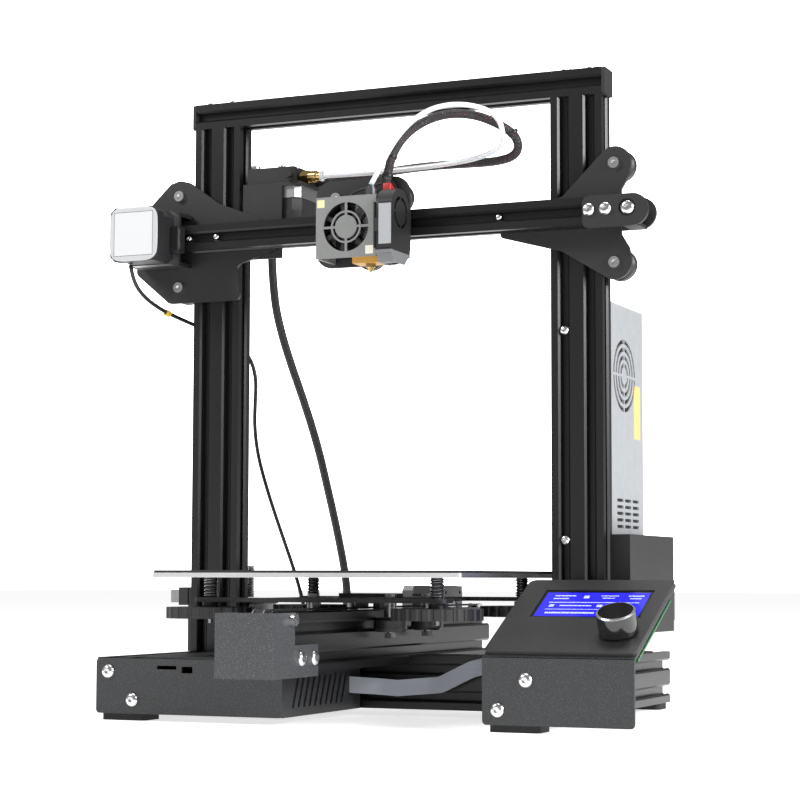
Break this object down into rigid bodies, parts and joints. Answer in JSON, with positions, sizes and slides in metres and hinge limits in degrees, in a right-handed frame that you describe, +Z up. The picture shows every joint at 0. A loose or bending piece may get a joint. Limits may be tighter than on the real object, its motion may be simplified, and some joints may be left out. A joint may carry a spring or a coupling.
{
  "type": "desktop filament printer",
  "caption": "Open-frame desktop filament printer: slotted beam frame, lifting cross rail with print head, sliding heated bed, tilted display, side power supply.",
  "frame": {"origin": "on the ground plane, midway between the two uprights and in their centre plane", "axes": "+X to the right seen from the front, +Y to the back, +Z up"},
  "size_m": [0.455, 0.4371, 0.4829],
  "materials": {
    "anodised_black": "satin",
    "grey_powder": "matt",
    "black_plate": "matt",
    "black_plastic": "matt",
    "gloss_black": "gloss",
    "rubber": "matt",
    "belt": "matt",
    "pom_wheel": "satin",
    "steel": "satin",
    "motor": "satin",
    "bright_aluminium": "satin",
    "grey_shroud": "matt",
    "brass": "satin",
    "bare_aluminium": "brushed",
    "build_sheet": "textured",
    "circuit_board": "satin",
    "blue_screen": "gloss",
    "ribbon": "satin",
    "clear_tube": "satin",
    "braid": "braided",
    "wire": "satin",
    "zinc_steel": "satin"
  },
  "bodies": {
    "frame": {"base_beams": "anodised_black", "upper_frame": "anodised_black", "caps_and_feet": "rubber", "bed_rail": "anodised_black", "frame_brackets": "grey_powder", "frame_motors": "motor", "y_belt": "belt", "control_box": "grey_powder", "mainboard": "circuit_board", "supply_case": "zinc_steel", "supply_cover": "black_plate", "power_inlet": "gloss_black", "display_bracket": "grey_powder", "display_panel": "black_plate", "display_board": "circuit_board", "display_screen": "blue_screen", "ribbon_cable": "ribbon", "lift_switch": "black_plastic", "frame_screws": "steel", "hanging_sleeve": "braid", "motor_lead": "wire"},
    "gantry": {"gantry_plates": "black_plate", "cross_rail": "anodised_black", "gantry_motors": "motor", "x_belt": "belt", "lift_wheels": "pom_wheel", "brass_fittings": "brass", "extruder_block": "black_plastic", "x_switch": "black_plastic", "gantry_bolts": "steel", "bowden_tube": "clear_tube", "loop_sleeve": "braid"},
    "head": {"head_plate": "grey_powder", "head_wheels": "pom_wheel", "head_wheel_bolts": "steel", "fan_shroud": "grey_shroud", "hotend_fan": "black_plastic", "hotend": "bright_aluminium", "blower": "black_plastic"},
    "bed": {"bed_plate": "bare_aluminium", "build_surface": "build_sheet", "bed_carriage": "black_plate", "bed_wheels": "pom_wheel", "bed_hardware": "steel"},
    "screw": {"lead_screw": "steel"},
    "bed_idler": {"y_idler": "bright_aluminium"},
    "bed_drive": {"y_drive_pulley": "bright_aluminium"},
    "head_drive": {"x_drive_pulley": "bright_aluminium"},
    "head_idler": {"x_idler": "bright_aluminium"},
    "encoder": {"encoder_shaft": "steel"},
    "knob": {"menu_knob": "gloss_black"},
    "rocker": {"power_rocker": "gloss_black"},
    "lever": {"extruder_lever": "black_plastic"},
    "gear": {"drive_gear": "brass"},
    "fan_rotor": {"hotend_fan_rotor": "black_plastic"},
    "blower_wheel": {"blower_rotor": "black_plastic"},
    "leveller_front_left": {"level_knob_front_left": "black_plastic"},
    "leveller_rear_left": {"level_knob_rear_left": "black_plastic"},
    "leveller_front_right": {"level_knob_front_right": "black_plastic"},
    "leveller_rear_right": {"level_knob_rear_right": "black_plastic"}
  },
  "joints": [
    {"name": "z_lift", "type": "slide", "parent": "frame", "child": "gantry", "axis": [0, 0, 1], "range_m": [-0.22, 0.03], "deforming": ["hanging_sleeve", "motor_lead"]},
    {"name": "x_travel", "type": "slide", "parent": "gantry", "child": "head", "axis": [1, 0, 0], "range_m": [-0.11, 0.11], "deforming": ["bowden_tube", "loop_sleeve"]},
    {"name": "y_travel", "type": "slide", "parent": "frame", "child": "bed", "axis": [0, 1, 0], "range_m": [-0.122, 0.088]},
    {"name": "screw_spin", "type": "hinge", "parent": "frame", "child": "screw", "pos_m": [-0.147, 0.034, 0], "axis": [0, 0, 1], "continuous": true},
    {"name": "bed_idler_spin", "type": "hinge", "parent": "frame", "child": "bed_idler", "pos_m": [0, -0.222, 0.0752], "axis": [1, 0, 0], "continuous": true},
    {"name": "bed_drive_spin", "type": "hinge", "parent": "frame", "child": "bed_drive", "pos_m": [0, 0.17, 0.0752], "axis": [1, 0, 0], "continuous": true},
    {"name": "head_drive_spin", "type": "hinge", "parent": "gantry", "child": "head_drive", "pos_m": [-0.1915, -0.0245, 0.3685], "axis": [0, 1, 0], "continuous": true},
    {"name": "head_idler_spin", "type": "hinge", "parent": "gantry", "child": "head_idler", "pos_m": [0.1976, -0.0245, 0.3685], "axis": [0, 1, 0], "continuous": true},
    {"name": "knob_press", "type": "slide", "parent": "frame", "child": "encoder", "axis": [0, 0.4436, -0.8962], "range_m": [0, 0.0006], "stiffness_N_per_m": 2000, "springref_m": -0.0004},
    {"name": "knob_spin", "type": "hinge", "parent": "encoder", "child": "knob", "pos_m": [0.216, -0.12222, 0.06675], "axis": [0, -0.4436, 0.8962], "continuous": true},
    {"name": "rocker_tilt", "type": "hinge", "parent": "frame", "child": "rocker", "pos_m": [0.171, 0.1225, 0.116], "axis": [1, 0, 0], "range_deg": [0, 10]},
    {"name": "lever_swing", "type": "hinge", "parent": "gantry", "child": "lever", "pos_m": [-0.118, -0.006, 0], "axis": [0, 0, 1], "range_deg": [-6, 0], "stiffness_Nm_per_rad": 1.2, "springref_deg": 2.86},
    {"name": "gear_spin", "type": "hinge", "parent": "gantry", "child": "gear", "pos_m": [-0.0995, 0.0127, 0], "axis": [0, 0, 1], "continuous": true},
    {"name": "fan_spin", "type": "hinge", "parent": "head", "child": "fan_rotor", "pos_m": [-0.0087, -0.066, 0.362], "axis": [0, 1, 0], "continuous": true},
    {"name": "blower_spin", "type": "hinge", "parent": "head", "child": "blower_wheel", "pos_m": [0.022, -0.059, 0.372], "axis": [1, 0, 0], "continuous": true},
    {"name": "level_front_left", "type": "hinge", "parent": "bed", "child": "leveller_front_left", "pos_m": [-0.088, -0.129, 0], "axis": [0, 0, 1], "continuous": true},
    {"name": "level_rear_left", "type": "hinge", "parent": "bed", "child": "leveller_rear_left", "pos_m": [-0.088, 0.042, 0], "axis": [0, 0, 1], "continuous": true},
    {"name": "level_front_right", "type": "hinge", "parent": "bed", "child": "leveller_front_right", "pos_m": [0.088, -0.129, 0], "axis": [0, 0, 1], "continuous": true},
    {"name": "level_rear_right", "type": "hinge", "parent": "bed", "child": "leveller_rear_right", "pos_m": [0.088, 0.042, 0], "axis": [0, 0, 1], "continuous": true}
  ],
  "couplings": [
    {"joint": "screw_spin", "follows": "z_lift", "rad_per_m": 785.4},
    {"joint": "bed_idler_spin", "follows": "y_travel", "rad_per_m": -178.57},
    {"joint": "bed_drive_spin", "follows": "y_travel", "rad_per_m": -178.57},
    {"joint": "head_drive_spin", "follows": "x_travel", "rad_per_m": 158.73},
    {"joint": "head_idler_spin", "follows": "x_travel", "rad_per_m": 158.73}
  ]
}
